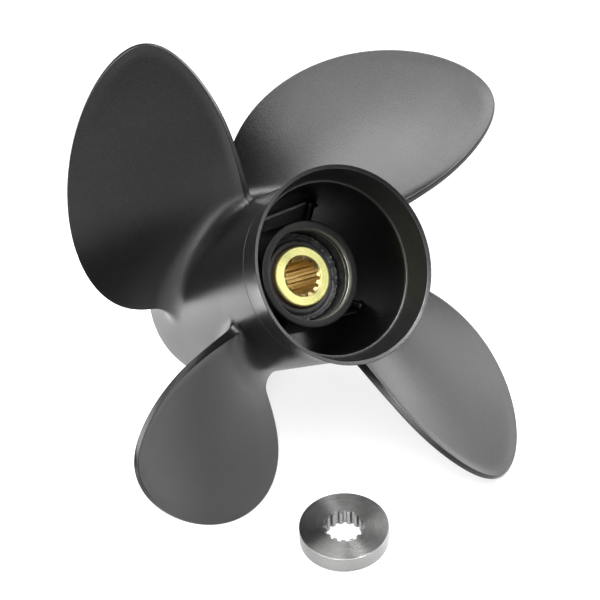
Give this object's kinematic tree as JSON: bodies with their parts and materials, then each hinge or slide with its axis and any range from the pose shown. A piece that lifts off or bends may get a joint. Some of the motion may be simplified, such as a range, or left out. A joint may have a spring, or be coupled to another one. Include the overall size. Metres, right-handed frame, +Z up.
{
  "type": "boat propeller",
  "caption": "Left-hand boat propeller with broad raked blades, through-hub exhaust, flared aft ring and splined drive sleeve, lying beside its splined thrust washer.",
  "frame": {"origin": "centre of the bounding box in plan, on the level surface that the hub, two blades and the washer rest on", "axes": "+Z up from the surface; the shaft axis lies in the XZ plane and rises 39.35 degrees towards +X, its aft end; +Y completes the right-handed frame"},
  "size_m": [0.2552, 0.3364, 0.265],
  "materials": {
    "black_coat": "satin black powder coat over cast aluminium",
    "rubber": "matt moulded rubber",
    "brass": "turned and broached",
    "steel": "turned, bright"
  },
  "bodies": {
    "root": {"hub_barrel": "black_coat", "exhaust_flare": "black_coat", "inner_boss": "black_coat", "rib_1": "black_coat", "rib_2": "black_coat", "rib_3": "black_coat", "rib_4": "black_coat", "blade_1": "black_coat", "blade_2": "black_coat", "blade_3": "black_coat", "blade_4": "black_coat", "rubber_bushing": "rubber", "splined_sleeve": "brass", "thrust_washer": "steel"}
  },
  "joints": []
}
